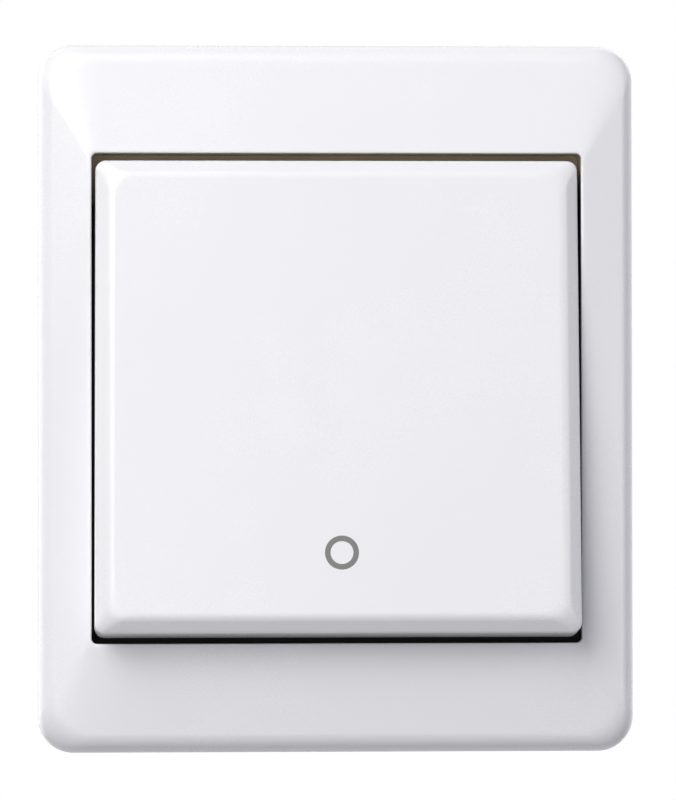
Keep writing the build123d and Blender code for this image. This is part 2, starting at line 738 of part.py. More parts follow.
def build_mechanism_cover():
    """Insulating cover over the contact chambers, with the cheeks in which the cradle turns."""
    wide = 2 * (housing_inner - cover_clearance)
    band_length = 2 * (pocket_inner_z - pocket_wall - cover_clearance)
    band_width = 2 * (riser_inner - cover_clearance)
    tab_span = housing_size - 2 * cover_tab_lip - 2 * cover_clearance
    window_width = 2 * (pole_offset + guide_radius + cheek_gap)
    cheek_centre = cheek_inner + cheek_thickness / 2
    with BuildPart() as mechanism_cover:
        with BuildSketch(Plane.XZ.offset(-cover_thickness)):
            Rectangle(wide, band_length)
            Rectangle(band_width, wide)
            Rectangle(tab_span, cover_tab_width)
            Rectangle(window_width, cover_window_length, mode=Mode.SUBTRACT)
        extrude(amount=cover_thickness)
        for x in sides.values():
            with BuildSketch(Plane.YZ.offset(x * cheek_centre)):
                with BuildLine():
                    Polyline(
                        (0, -cheek_length / 2),
                        (-pivot_height, -cheek_length / 2),
                        (-pivot_height - cheek_top, -cheek_top_length / 2),
                        (-pivot_height - cheek_top, cheek_top_length / 2),
                        (-pivot_height, cheek_length / 2),
                        (0, cheek_length / 2),
                        close=True)
                make_face()
                with Locations((-pivot_height, 0)):
                    Circle(trunnion_radius + trunnion_clearance, mode=Mode.SUBTRACT)
                with Locations((-pivot_height - cheek_top / 2, 0)):
                    Rectangle(cheek_top, cheek_snap_width, mode=Mode.SUBTRACT)
            extrude(amount=cheek_thickness / 2, both=True)
    save(mechanism_cover, "mechanism_cover")


os.makedirs("parts", exist_ok=True)
build_cover_frame()
build_rocker_cap()
build_rocker_cradle()
build_plungers()
build_contact_arms()
build_terminal_strips()
build_terminal_blocks()
build_screws()
build_support_plate()
build_housing_base()
build_mechanism_cover()
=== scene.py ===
"""Looks of a two-pole light switch: cover frame, rocker with its off mark, insert, light and camera."""

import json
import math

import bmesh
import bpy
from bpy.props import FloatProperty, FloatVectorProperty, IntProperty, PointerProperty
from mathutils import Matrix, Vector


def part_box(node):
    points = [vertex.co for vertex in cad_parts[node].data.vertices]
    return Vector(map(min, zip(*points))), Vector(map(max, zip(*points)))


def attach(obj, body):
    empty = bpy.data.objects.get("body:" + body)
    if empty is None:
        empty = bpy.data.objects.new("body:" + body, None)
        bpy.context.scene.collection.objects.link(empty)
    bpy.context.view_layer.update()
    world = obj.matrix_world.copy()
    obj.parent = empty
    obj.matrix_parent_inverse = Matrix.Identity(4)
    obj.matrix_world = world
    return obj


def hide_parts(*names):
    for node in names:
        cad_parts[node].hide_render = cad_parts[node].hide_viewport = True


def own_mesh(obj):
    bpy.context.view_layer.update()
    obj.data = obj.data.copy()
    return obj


bl_info = {
    "name": "Two-pole light switch",
    "version": (1, 0, 0),
    "blender": (4, 5, 0),
    "location": "3D View > Sidebar > Light Switch",
    "description": "Builds the mouldings, finishes and photo stage of a flush two-pole light switch",
    "category": "Object",
}

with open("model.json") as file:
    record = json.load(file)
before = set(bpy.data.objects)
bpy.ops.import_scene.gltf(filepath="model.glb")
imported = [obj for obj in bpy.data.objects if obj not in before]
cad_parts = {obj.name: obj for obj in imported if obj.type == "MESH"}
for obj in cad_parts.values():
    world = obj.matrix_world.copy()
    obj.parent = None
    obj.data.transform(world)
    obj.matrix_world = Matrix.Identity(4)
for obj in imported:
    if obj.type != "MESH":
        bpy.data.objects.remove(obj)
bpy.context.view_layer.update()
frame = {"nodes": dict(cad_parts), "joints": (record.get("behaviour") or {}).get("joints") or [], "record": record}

frame_low, frame_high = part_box("cover_frame")
joints = {joint["name"]: joint for joint in frame["joints"]}
PIVOT = Vector(joints["rocker_tilt"]["pos_m"])
REST_TILT = math.radians(joints["rocker_tilt"]["range_deg"][1] / 2)
MM = 0.001
SIDES = (-1, 1)
SHARP_ANGLE = math.radians(34.0)

# Shares of the half height between which the painted shade inside the opening grows lighter, to painted light at
# the top
UPPER_START = 0.84
UPPER_END = 0.97


class FrameSettings(bpy.types.PropertyGroup):
    """Sizes of the moulded cover frame."""
    width: FloatProperty(
        name="Width", description="Overall width of the frame", unit="LENGTH",
        default=frame_high.x - frame_low.x)
    length: FloatProperty(
        name="Length", description="Overall height of the frame on the wall", unit="LENGTH",
        default=frame_high.z - frame_low.z)
    opening_height: FloatProperty(
        name="Opening height", description="Height of the opening's edge above the wall", unit="LENGTH",
        default=-frame_low.y)
    corner_radius: FloatProperty(
        name="Corner radius", description="Radius of the outer corners", unit="LENGTH", default=5.0 * MM)
    inset_corner_radius: FloatProperty(
        name="Inset corner radius", description="Corner radius where the edge rounding ends",
        unit="LENGTH", default=6.0 * MM)
    edge_height: FloatProperty(
        name="Edge height", description="Height where side wall and slope would meet",
        unit="LENGTH", default=6.6 * MM)
    edge_rounding: FloatProperty(
        name="Edge rounding", description="Radius of the outer edge", unit="LENGTH", default=3.4 * MM)
    opening: FloatProperty(
        name="Opening", description="Width and height of the square opening",
        unit="LENGTH", default=69.6 * MM)
    land: FloatProperty(
        name="Land", description="Flat strip round the opening", unit="LENGTH", default=0.6 * MM)
    opening_rounding: FloatProperty(
        name="Opening rounding", description="Radius of the opening's edge",
        unit="LENGTH", default=0.22 * MM)
    opening_corner: FloatProperty(
        name="Opening corner", description="Radius of the opening's corners",
        unit="LENGTH", default=0.8 * MM)
    wall: FloatProperty(
        name="Wall", description="Thickness of the moulding", unit="LENGTH", default=2.0 * MM)
    return_wall: FloatProperty(
        name="Return wall", description="Thickness of the wall behind the opening",
        unit="LENGTH", default=1.6 * MM)
    return_rear: FloatProperty(
        name="Return rear", description="Height of the return wall's rear rim above the wall",
        unit="LENGTH", default=1.6 * MM)
    rib: FloatProperty(
        name="Rib", description="Thickness of the stiffening ribs", unit="LENGTH", default=1.0 * MM)
    draft: FloatProperty(
        name="Draft", description="Slope of the wall behind the opening", subtype="ANGLE",
        default=math.radians(1.0))
    corner_steps: IntProperty(
        name="Corner steps", description="Facets round each corner, on the rocker too", default=16, min=4)
    edge_steps: IntProperty(
        name="Edge steps", description="Facets across the outer edge's rounding", default=24, min=4)
    opening_steps: IntProperty(
        name="Opening steps", description="Facets across the opening's rounding", default=6, min=2)


class RockerSettings(bpy.types.PropertyGroup):
    """Sizes of the rocker cap and its printed ring."""
    width: FloatProperty(
        name="Width", description="Width at the shoulder", unit="LENGTH", default=68.5 * MM)
    length: FloatProperty(
        name="Length", description="Height at the shoulder", unit="LENGTH", default=67.2 * MM)
    face: FloatProperty(
        name="Face", description="Distance of the face from the pivot", unit="LENGTH", default=5.27 * MM)
    rim: FloatProperty(
        name="Rim", description="Distance of the skirt's rim from the pivot",
        unit="LENGTH", default=-3.68 * MM)
    draft: FloatProperty(
        name="Draft", description="Widening of the skirt from shoulder to rim, each side",
        unit="LENGTH", default=0.196 * MM)
    bevel_width: FloatProperty(
        name="Bevel width", description="Width of the bevel, its rounding left out",
        unit="LENGTH", default=2.15 * MM)
    bevel_drop: FloatProperty(
        name="Bevel drop", description="Fall of the bevel to the shoulder", unit="LENGTH", default=1.8 * MM)
    bevel_rounding: FloatProperty(
        name="Bevel rounding", description="Radius between face and bevel",
        unit="LENGTH", default=2.2 * MM)
    shoulder_rounding: FloatProperty(
        name="Shoulder rounding", description="Radius of the edge below the bevel",
        unit="LENGTH", default=0.9 * MM)
    corner_radius: FloatProperty(
        name="Corner radius", description="Corner radius at the shoulder", unit="LENGTH", default=1.5 * MM)
    face_corner: FloatProperty(
        name="Face corner", description="Corner radius of the flat face", unit="LENGTH", default=2.8 * MM)
    wall: FloatProperty(
        name="Wall", description="Thickness of the cap", unit="LENGTH", default=1.6 * MM)
    mark_radius: FloatProperty(
        name="Mark radius", description="Outer radius of the printed ring", unit="LENGTH", default=2.4 * MM)
    mark_stroke: FloatProperty(
        name="Mark stroke", description="Width of the ring's line", unit="LENGTH", default=0.8 * MM)
    mark_right: FloatProperty(
        name="Mark to the right", description="The ring's place right of the middle",
        unit="LENGTH", default=0.40 * MM)
    mark_down: FloatProperty(
        name="Mark down", description="The ring's place below the middle",
        unit="LENGTH", default=22.36 * MM)
    mark_proud: FloatProperty(
        name="Mark proud", description="Height of the print over the face",
        unit="LENGTH", default=0.012 * MM)
    bevel_steps: IntProperty(
        name="Bevel steps", description="Facets between face and bevel", default=10, min=2)
    shoulder_steps: IntProperty(
        name="Shoulder steps", description="Facets across the shoulder's rounding", default=5, min=2)
    mark_steps: IntProperty(name="Mark steps", description="Facets round the ring", default=96, min=24)


class SpringSettings(bpy.types.PropertyGroup):
    """Sizes of the plunger springs, whose places and lengths are the CAD's."""
    wire: FloatProperty(name="Wire", description="Diameter of the wire", unit="LENGTH", default=0.36 * MM)
    turns: FloatProperty(
        name="Turns", description="Turns of the wire, with one closed at each end", default=7.0, min=3.0)
    closed_pitch: FloatProperty(
        name="Closed pitch", description="Rise of a closed turn", unit="LENGTH", default=0.43 * MM)
    play: FloatProperty(
        name="Play", description="Gap at each end at rest", unit="LENGTH", default=0.02 * MM)
    turn_steps: IntProperty(name="Turn steps", description="Rings of points in a turn", default=24, min=8)
    wire_sides: IntProperty(name="Wire sides", description="Facets round the wire", default=10, min=6)


class FinishSettings(bpy.types.PropertyGroup):
    """Colours of the switch."""
    plastic: FloatVectorProperty(
        name="White plastic", description="Glossy moulded white", subtype="COLOR",
        size=3, default=(0.80, 0.80, 0.825))
    # Painted shade: a near-black colour on the frame's walls inside the opening, where light hardly reaches
    painted_wall_shade: FloatVectorProperty(
        name="Inner walls", description="Shade on the walls that the opening hides", subtype="COLOR",
        size=3, default=(0.07, 0.055, 0.04))
    # Painted light: a warm brown on the opening's upper wall, standing in for light bounced onto it
    painted_wall_light: FloatVectorProperty(
        name="Upper wall", description="The opening's upper wall, which light reaches", subtype="COLOR",
        size=3, default=(0.60, 0.52, 0.38))
    # Painted shade: a near-black colour on the plate's front below the gap round the rocker
    painted_gap_shade: FloatVectorProperty(
        name="Gap shade", description="Shade on the plate below the gap", subtype="COLOR",
        size=3, default=(0.03, 0.024, 0.017))
    # Painted light: a warm brown on the plate below the upper gap, standing in for light that reaches it
    painted_gap_light: FloatVectorProperty(
        name="Upper gap", description="The plate below the upper gap, which light reaches", subtype="COLOR",
        size=3, default=(0.72, 0.60, 0.41))
    print_grey: FloatVectorProperty(
        name="Print", description="Grey of the printed ring", subtype="COLOR",
        size=3, default=(0.19, 0.19, 0.18))
    housing: FloatVectorProperty(
        name="Housing", description="Thermoset of the housing", subtype="COLOR",
        size=3, default=(0.50, 0.51, 0.51))


class StageSettings(bpy.types.PropertyGroup):
    """Light and camera of the photograph."""
    distance: FloatProperty(
        name="Camera distance", description="From the camera to the switch", unit="LENGTH", default=0.600)
    pitch: FloatProperty(
        name="Pitch", description="Height of the camera's direction", subtype="ANGLE",
        default=math.radians(-0.75))
    yaw: FloatProperty(
        name="Yaw", description="Sideways turn of the camera's direction", subtype="ANGLE",
        default=math.radians(-2.2))
    roll: FloatProperty(
        name="Roll", description="Roll of the camera", subtype="ANGLE", default=math.radians(-0.067))
    focal_pixels: FloatProperty(
        name="Focal length", description="Focal length in pixels of the picture", default=4199.7)
    centre_x: FloatProperty(
        name="Centre X", description="Picture column that the camera points at", default=336.00)
    centre_y: FloatProperty(
        name="Centre Y", description="Picture row that the camera points at", default=398.45)
    key_power: FloatProperty(
        name="Key power", description="Power of the soft light from the upper left", default=8.1)
    front_power: FloatProperty(
        name="Front power", description="Power of the soft light beside the camera", default=2.7)
    high_power: FloatProperty(
        name="High power", description="Power of the soft light above the key", default=2.8)
    side_power: FloatProperty(
        name="Side power", description="Power of the soft light from the right", default=3.0)
    left_rim_power: FloatProperty(
        name="Left rim power", description="Power of the soft light behind the left edge", default=7.6)
    right_rim_power: FloatProperty(
        name="Right rim power", description="Power of the soft light behind the right edge", default=5.8)
    top_rim_power: FloatProperty(
        name="Top rim power", description="Power of the soft light behind the upper edge", default=4.0)
    bottom_rim_power: FloatProperty(
        name="Bottom rim power", description="Power of the soft light behind the lower edge", default=3.9)
    rear_power: FloatProperty(
        name="Rear power", description="Power of the soft light on the housing", default=1.0)
    ambient: FloatProperty(
        name="Ambient", description="Brightness of the room around the switch", default=0.01)


def settings(name):
    """One of the scene's setting groups."""
    return getattr(bpy.context.scene, "light_switch_" + name)


class Value:
    """A socket that takes part in sums, each of which adds a Math node."""

    def __init__(self, tree, socket):
        self.tree = tree
        self.socket = socket

    def math(self, operation, *terms):
        """Result of an operation on values and numbers."""
        return self.tree.add("ShaderNodeMath", {"operation": operation}, dict(enumerate(terms)))

    def __add__(self, other):
        return self.math("ADD", self, other)

    def __radd__(self, other):
        return self.math("ADD", other, self)

    def __sub__(self, other):
        return self.math("SUBTRACT", self, other)

    def __rsub__(self, other):
        return self.math("SUBTRACT", other, self)

    def __mul__(self, other):
        return self.math("MULTIPLY", self, other)

    def __rmul__(self, other):
        return self.math("MULTIPLY", other, self)

    def __gt__(self, other):
        return self.math("GREATER_THAN", self, other)

    def __lt__(self, other):
        return self.math("LESS_THAN", self, other)

    def __abs__(self):
        return self.math("ABSOLUTE", self)


class NodeTree:
    """The nodes of a material or a world, and the shader that they feed."""

    def __init__(self, owner, surface):
        owner.use_nodes = True
        self.nodes = owner.node_tree.nodes
        self.links = owner.node_tree.links
        self.surface = self.nodes[surface]

    def add(self, kind, options, sockets, output=0):
        """Any node: its settings first, then the values or links of its sockets."""
        node = self.nodes.new(kind)
        for name, value in options.items():
            setattr(node, name, value)
        for name, value in sockets.items():
            if isinstance(value, Value):
                self.links.new(value.socket, node.inputs[name])
            else:
                node.inputs[name].default_value = value
        return Value(self, node.outputs[output])

    def feed(self, socket, value):
        """Link a value to a socket of the shader."""
        self.links.new(value.socket, self.surface.inputs[socket])


class Shader(NodeTree):
    """A material's node tree, with its Principled shader."""

    def __init__(self, name, **constants):
        self.material = bpy.data.materials.new(name)
        super().__init__(self.material, "Principled BSDF")
        for socket, value in constants.items():
            self.surface.inputs[socket.replace("_", " ")].default_value = value

    def place(self):
        """Object coordinates, in metres in the switch's frame."""
        return self.add("ShaderNodeTexCoord", {}, {}, "Object")

    def along(self, axis):
        """One of the object coordinates X, Y and Z, in metres."""
        return self.add("ShaderNodeSeparateXYZ", {}, {0: self.place()}, axis)

    def rise(self, value, start, end):
        """From 0 to 1 between two levels of a value."""
        sockets = {"Value": value, "From Min": start, "From Max": end}
        return self.add("ShaderNodeMapRange", {"clamp": True}, sockets)

    def noise(self, scale, detail=3.0, place=None):
        """Even noise from 0 to 1, as many waves to the metre as its scale."""
        sockets = {"Vector": place or self.place(), "Scale": scale, "Detail": detail}
        return self.add("ShaderNodeTexNoise", {}, sockets)

    def mix(self, factor, first, second):
        """Blend of two colours."""
        options = {"data_type": "RGBA", "clamp_factor": True}
        sockets = {0: factor, 6: first, 7: second}
        return self.add("ShaderNodeMix", options, sockets, 2)

    def relief(self, height, depth):
        """Bump of a height from 0 to 1 over a depth in metres."""
        self.feed("Normal", self.add("ShaderNodeBump", {}, {"Height": height, "Distance": depth}))


def rgba(colour, factor=1.0):
    """A colour, lighter or darker by a factor, with its alpha."""
    return (*[min(1.0, channel * factor) for channel in colour], 1.0)


def white_plastic(name, well=None):
    """Glossy moulded white with faint orange peel. The walls of a square well get painted shade, turning to
    painted light near their top.
    """
    finish = settings("finish")
    shader = Shader(name, IOR=1.5, Specular_IOR_Level=0.42)
    flow = shader.noise(38.0, 2.0)
    grain = shader.noise(5200.0, 2.0)
    white = shader.mix(flow, rgba(finish.plastic, 0.985), rgba(finish.plastic, 1.012))
    if well:
        # Painted shade on the walls deeper than the mouth, graded to a painted warm light towards their top
        half, mouth = well
        shade_start = mouth + 0.5 * MM
        shade_end = mouth + 2.0 * MM
        inside = (abs(shader.along("X")) < half) * (abs(shader.along("Z")) < half)
        shade = inside * shader.rise(shader.along("Y"), shade_start, shade_end)
        upper = shader.rise(shader.along("Z"), half * UPPER_START, half * UPPER_END)
        walls = shader.mix(upper, rgba(finish.painted_wall_shade), rgba(finish.painted_wall_light))
        white = shader.mix(shade, white, walls)
    shader.feed("Base Color", white)
    shader.feed("Roughness", 0.23 + 0.05 * flow + 0.03 * grain)
    shader.relief(0.94 * shader.noise(420.0, 1.0) + 0.06 * grain, 0.003 * MM)
    return shader.material


def build_loops(loops, closed, name):
    """Mesh from a row of outlines with equal point counts, closed to a ring or capped at both ends."""
    count = len(loops[0])
    vertices = [point for loop in loops for point in loop]
    faces = []
    rows = len(loops) if closed else len(loops) - 1
    for row in range(rows):
        first = row * count
        second = (row + 1) % len(loops) * count
        for column in range(count):
            following = (column + 1) % count
            faces.append((first + column, first + following, second + following, second + column))
    if not closed:
        faces.append(tuple(reversed(range(count))))
        faces.append(tuple(range((len(loops) - 1) * count, len(loops) * count)))
    mesh = bpy.data.meshes.new(name)
    mesh.from_pydata(vertices, [], faces)
    return mesh


def rounded_outline(half_x, half_z, radius, height_x, height_z=None):
    """Points of a rounded rectangle. Its sides lie at one height and its ends may lie at another."""
    steps = settings("frame").corner_steps
    height_z = height_x if height_z is None else height_z
    points = []
    for corner in range(4):
        for step in range(steps + 1):
            angle = math.radians(90 * (corner + step / steps))
            along_x = math.cos(angle)
            along_z = math.sin(angle)
            sign_x = 1 if corner in (0, 3) else -1
            sign_z = 1 if corner in (0, 1) else -1
            x = sign_x * (half_x - radius) + radius * along_x
            z = sign_z * (half_z - radius) + radius * along_z
            share = along_z * along_z
            points.append(Vector((x, -(height_x * (1 - share) + height_z * share), z)))
    return points


def block_mesh(low, high, edge):
    """A bevelled block between two corners, as a list of vertices and faces."""
    vertices = []
    centre = [(a + b) / 2 for a, b in zip(low, high)]
    half = [abs(b - a) / 2 for a, b in zip(low, high)]
    widest_share = 0.8
    edge = min(edge, min(half) * widest_share)
    for depth, inset in ((-half[1], edge), (-half[1] + edge, 0.0), (half[1] - edge, 0.0), (half[1], edge)):
        for sign_x, sign_z in ((1, 1), (-1, 1), (-1, -1), (1, -1)):
            vertices.append((
                centre[0] + sign_x * (half[0] - inset), centre[1] + depth,
                centre[2] + sign_z * (half[2] - inset)))
    faces = [(0, 1, 2, 3), (15, 14, 13, 12)]
    for row in range(3):
        for column in range(4):
            following = (column + 1) % 4
            faces.append((
                row * 4 + column, (row + 1) * 4 + column, (row + 1) * 4 + following, row * 4 + following))
    return vertices, faces


def prism_mesh(profile, start, end):
    """A closed prism along Z over a profile of X and Y, as lists of vertices and faces."""
    count = len(profile)
    vertices = [(x, y, z) for z in (start, end) for x, y in profile]
    faces = [tuple(range(count)), tuple(reversed(range(count, 2 * count)))]
    for index in range(count):
        following = (index + 1) % count
        faces.append((index, following, count + following, count + index))
    return vertices, faces


def join_islands(mesh, islands):
    """A mesh with closed islands of vertices and faces added to those of another."""
    vertices = [tuple(v.co) for v in mesh.vertices]
    faces = [tuple(p.vertices) for p in mesh.polygons]
    for more_vertices, more_faces in islands:
        start = len(vertices)
        vertices.extend(tuple(v) for v in more_vertices)
        faces.extend(tuple(index + start for index in face) for face in more_faces)
    joined = bpy.data.meshes.new(mesh.name)
    joined.from_pydata(vertices, [], faces)
    return joined


def recalculate_normals(mesh):
    """Turn every face of closed islands outwards."""
    work = bmesh.new()
    work.from_mesh(mesh)
    bmesh.ops.recalc_face_normals(work, faces=work.faces)
    work.to_mesh(mesh)
    work.free()


def make_piece(name, mesh, material, body):
    """Object of a mesh, smooth but for its sharp edges, that rides on a body."""
    piece = bpy.data.objects.new(name, mesh)
    bpy.context.scene.collection.objects.link(piece)
    mesh.materials.append(material)
    recalculate_normals(mesh)
    mesh.shade_smooth()
    mesh.set_sharp_from_angle(angle=SHARP_ANGLE)
    weighted = piece.modifiers.new("even faces", "WEIGHTED_NORMAL")
    weighted.keep_sharp = True
    weighted.weight = 50
    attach(piece, body)
    return piece


def edge_rounding(run, rise, height, radius, steps):
    """Inset and height of points round an edge between an upright wall and a slope."""
    slope = math.atan2(rise, run)
    tangent = radius / math.tan((math.pi / 2 + slope) / 2)
    points = []
    for step in range(steps + 1):
        angle = math.pi - (math.pi / 2 - slope) * step / steps
        points.append((radius + radius * math.cos(angle), height - tangent + radius * math.sin(angle)))
    return points


def frame_outlines(size):
    """The outlines of the cover frame, from the rear rim over the face and back inside."""
    half_x = size.width / 2
    half_z = size.length / 2
    land = size.opening / 2 + size.land
    rise = size.opening_height - size.edge_height
    steps = size.edge_steps
    sides = edge_rounding(half_x - land, rise, size.edge_height, size.edge_rounding, steps)
    ends = edge_rounding(half_z - land, rise, size.edge_height, size.edge_rounding, steps)
    loops = [rounded_outline(half_x, half_z, size.corner_radius, 0.0)]
    for step, (side, end) in enumerate(zip(sides, ends)):
        share = step / steps
        radius = size.corner_radius * (1 - share) + size.inset_corner_radius * share
        loops.append(rounded_outline(half_x - side[0], half_z - end[0], radius, side[1], end[1]))
    corner = size.opening_corner + size.land
    loops.append(rounded_outline(land, land, corner, size.opening_height))
    for step in range(size.opening_steps + 1):
        angle = math.pi / 2 * step / size.opening_steps
        inset = size.opening_rounding * (1 - math.sin(angle))
        drop = size.opening_rounding * (1 - math.cos(angle))
        half = size.opening / 2 + inset
        loops.append(rounded_outline(half, half, size.opening_corner + inset, size.opening_height - drop))
    draft = (size.opening_height - size.return_rear) * math.tan(size.draft)
    half = size.opening / 2 + draft
    loops.append(rounded_outline(half, half, size.opening_corner, size.return_rear))
    half = size.opening / 2 + size.return_wall
    ceiling = size.opening_height - size.wall
    cavity = size.edge_height - size.wall
    loops.append(rounded_outline(half, half, size.opening_corner, size.return_rear))
    loops.append(rounded_outline(half, half, size.opening_corner, ceiling))
    inner_x = half_x - size.wall
    inner_z = half_z - size.wall
    inner_radius = size.corner_radius - size.wall
    loops.append(rounded_outline(inner_x, inner_z, inner_radius, cavity))
    loops.append(rounded_outline(inner_x, inner_z, inner_radius, 0.0))
    return loops


def frame_ribs(size):
    """Stiffening ribs behind the frame's face."""
    inner_x = size.width / 2 - size.wall
    inner_z = size.length / 2 - size.wall
    near = size.opening / 2 + size.return_wall
    low = -(size.edge_height - size.wall)
    islands = []
    for side in SIDES:
        for column in (-1, 0, 1):
            x = column * 2 * inner_x / 3
            islands.append(block_mesh(
                (x - size.rib / 2, low - size.wall / 2, side * (near - size.wall / 4)),
                (x + size.rib / 2, -size.return_rear, side * (inner_z + size.wall / 4)), size.rib / 6))
        islands.append(block_mesh(
            (side * (near - size.wall / 4), low - size.wall / 8, -size.rib / 2),
            (side * (inner_x + size.wall / 4), -size.return_rear, size.rib / 2), size.rib / 6))
    return islands


def frame_nubs(size):
    """Snap nubs on the return wall's outer sides, which click into the plate's latches."""
    root = size.opening / 2 + size.return_wall - size.rib / 10
    place = 22.0 * MM
    play = 0.2 * MM
    reach = 0.9 * MM
    level = 3.2 * MM
    rise = 1.4 * MM
    half_length = 2.5 * MM
    islands = []
    for side in SIDES:
        for end in SIDES:
            middle = end * place
            profile = [
                (side * root, -level), (side * (root + play), -level),
                (side * (root + reach), -level - rise / 2), (side * (root + reach), -level - rise),
                (side * root, -level - rise)]
            islands.append(prism_mesh(profile, middle - half_length, middle + half_length))
    return islands


class OBJECT_OT_switch_frame(bpy.types.Operator):
    """Build the moulded cover frame"""
    bl_idname = "light_switch.frame"
    bl_label = "Cover frame"

    def execute(self, context):
        size = settings("frame")
        mesh = build_loops(frame_outlines(size), True, "cover_frame_shell")
        mesh = join_islands(mesh, frame_ribs(size) + frame_nubs(size))
        # Half width and mouth level of the well whose walls get painted shade and painted light
        well = (size.opening / 2 + size.return_wall / 2, -size.opening_height)
        finish = white_plastic("frame_gloss_white", well)
        piece = make_piece("cover_frame_shell", mesh, finish, "root")
        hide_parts("cover_frame")
        return {"FINISHED"}


def rocker_matrix():
    """From the cap's own frame, with the pivot as origin and a level face, to its place at rest."""
    return Matrix.Translation(PIVOT) @ Matrix.Rotation(-REST_TILT, 4, "X")


def cap_outlines(size):
    """The outlines of the rocker cap, from the middle of its face over the bevel and up inside."""
    half_x = size.width / 2
    half_z = size.length / 2
    turn = math.atan2(size.bevel_drop, size.bevel_width)
    tangent = size.bevel_rounding * math.tan(turn / 2)
    widest = size.bevel_width + tangent
    loops = []
    for step in range(size.bevel_steps + 1):
        angle = turn * step / size.bevel_steps
        inset = widest - size.bevel_rounding * math.sin(angle)
        height = size.face - size.bevel_rounding * (1 - math.cos(angle))
        corner = size.corner_radius + (size.face_corner - size.corner_radius) * inset / widest
        loops.append(rounded_outline(half_x - inset, half_z - inset, corner, height))
    # The shoulder's arc touches both the bevel and the skirt.
    shoulder = size.face - size.bevel_drop
    edge = size.shoulder_rounding
    tangent = edge * (1 - math.sin(turn)) / math.cos(turn)
    for step in range(size.shoulder_steps + 1):
        angle = turn + (math.pi / 2 - turn) * step / size.shoulder_steps
        inset = edge * (1 - math.sin(angle))
        height = shoulder - tangent + edge * math.cos(angle)
        corner = size.corner_radius - inset / 2
        loops.append(rounded_outline(half_x - inset, half_z - inset, corner, height))
    rim_x = half_x + size.draft
    rim_z = half_z + size.draft
    loops.append(rounded_outline(rim_x, rim_z, size.corner_radius, size.rim))
    inner = size.corner_radius / 2
    loops.append(rounded_outline(rim_x - size.wall, rim_z - size.wall, inner, size.rim))
    ceiling = size.face - size.wall
    loops.append(rounded_outline(half_x - size.wall, half_z - size.wall, inner, ceiling))
    return loops


def cap_details(size):
    """Ribs and cradle clips under the cap's face."""
    half_x = size.width / 2 - size.wall
    half_z = size.length / 2 - size.wall
    ceiling = size.face - size.wall
    depth = 0.9 * MM
    rib = 0.9 * MM
    upright_rib = 24.2 * MM
    level_rib = 23.3 * MM
    clip_inner = 11.0 * MM
    clip_outer = 12.2 * MM
    clip_nose = 12.7 * MM
    clip_place = 9.0 * MM
    clip_half_length = 2.0 * MM
    root = -ceiling - depth / 4
    lip = -ceiling + depth
    hook = -ceiling + 1.95 * MM
    tail = hook + 1.2 * MM
    islands = []
    for side in SIDES:
        x = side * upright_rib
        z = side * level_rib
        islands.append(block_mesh((x - rib / 2, root, -half_z), (x + rib / 2, lip, half_z), rib / 8))
        islands.append(block_mesh((-half_x, root, z - rib / 2), (half_x, lip, z + rib / 2), rib / 8))
        profile = [
            (side * clip_inner, root), (side * clip_outer, root), (side * clip_outer, hook),
            (side * clip_nose, hook), (side * clip_outer, tail), (side * clip_inner, tail)]
        for end in SIDES:
            middle = end * clip_place
            islands.append(prism_mesh(profile, middle - clip_half_length, middle + clip_half_length))
    return islands


class OBJECT_OT_switch_rocker(bpy.types.Operator):
    """Build the rocker cap"""
    bl_idname = "light_switch.rocker"
    bl_label = "Rocker cap"

    def execute(self, context):
        size = settings("rocker")
        mesh = build_loops(cap_outlines(size), False, "rocker_cap_shell")
        mesh = join_islands(mesh, cap_details(size))
        mesh.transform(rocker_matrix())
        finish = white_plastic("rocker_gloss_white")
        piece = make_piece("rocker_cap_shell", mesh, finish, "rocker")
        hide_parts("rocker_cap")
        return {"FINISHED"}


class OBJECT_OT_switch_mark(bpy.types.Operator):
    """Print the ring that marks the off end of the rocker"""
    bl_idname = "light_switch.mark"
    bl_label = "Off mark"

    def execute(self, context):
        size = settings("rocker")
        outer = size.mark_radius
        inner = outer - size.mark_stroke
        proud = size.mark_proud
        profile = ((outer, -proud), (outer - proud, proud), (inner + proud, proud), (inner, -proud))
        loops = []
        for radius, height in profile:
            loop = []
            for step in range(size.mark_steps):
                angle = math.tau * step / size.mark_steps
                loop.append(Vector((
                    size.mark_right + radius * math.cos(angle), -size.face - height,
                    -size.mark_down + radius * math.sin(angle))))
            loops.append(loop)
        mesh = build_loops(loops, True, "off_mark_ring")
        mesh.transform(rocker_matrix())
        shader = Shader("print_grey", Roughness=0.55)
        colour = settings("finish").print_grey
        speckle = shader.noise(9000.0, 2.0)
        shader.feed("Base Color", shader.mix(speckle, rgba(colour, 0.9), rgba(colour, 1.12)))
        make_piece("off_mark_ring", mesh, shader.material, "rocker")
        return {"FINISHED"}


def coil_mesh(size, low, high, name):
    """Round wire wound about the Y axis within a box, with a closed turn at each end."""
    wire = size.wire / 2
    middle = (low + high) / 2
    radius = (high.x - low.x) / 2 - wire
    start = low.y + wire + size.play
    length = high.y - wire - size.play - start
    open_turns = size.turns - 2
    open_pitch = (length - 2 * size.closed_pitch) / open_turns
    count = round(size.turns * size.turn_steps)
    loops = []
    for step in range(count + 1):
        turn = size.turns * step / count
        opened = min(max(turn - 1, 0), open_turns)
        outward = Vector((math.cos(math.tau * turn), 0, math.sin(math.tau * turn)))
        climb = size.closed_pitch * (turn - opened) + open_pitch * opened
        centre = Vector((middle.x, start + climb, middle.z)) + radius * outward
        loop = []
        for side in range(size.wire_sides):
            angle = math.tau * side / size.wire_sides
            loop.append(centre + wire * (math.cos(angle) * outward + math.sin(angle) * Vector((0, 1, 0))))
        loops.append(loop)
    return build_loops(loops, False, name)


